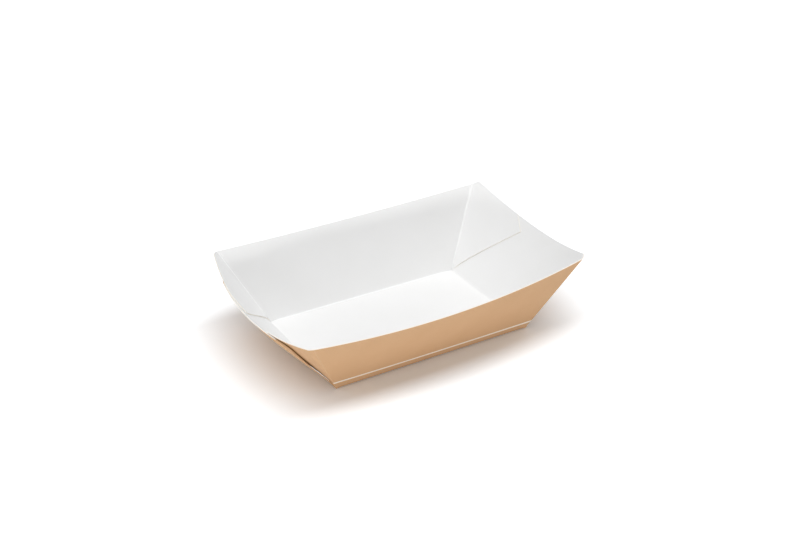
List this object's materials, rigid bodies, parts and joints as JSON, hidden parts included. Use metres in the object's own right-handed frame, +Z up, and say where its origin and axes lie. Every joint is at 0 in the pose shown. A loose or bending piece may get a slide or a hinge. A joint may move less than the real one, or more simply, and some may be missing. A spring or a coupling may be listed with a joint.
{
  "type": "paper food tray",
  "caption": "Open folded paperboard food tray with flared walls, curved rims and glued corner flaps, white inside and brown kraft outside.",
  "frame": {"origin": "centre of the flat base, on the surface that the tray rests on", "axes": "+X along the length of the base, +Z up out of the open top, and the near long wall is at -Y"},
  "size_m": [0.1845, 0.1138, 0.047],
  "materials": {
    "paperboard": "matte brown kraft outside, smooth white inside"
  },
  "bodies": {
    "root": {"tray": "paperboard"}
  },
  "joints": []
}
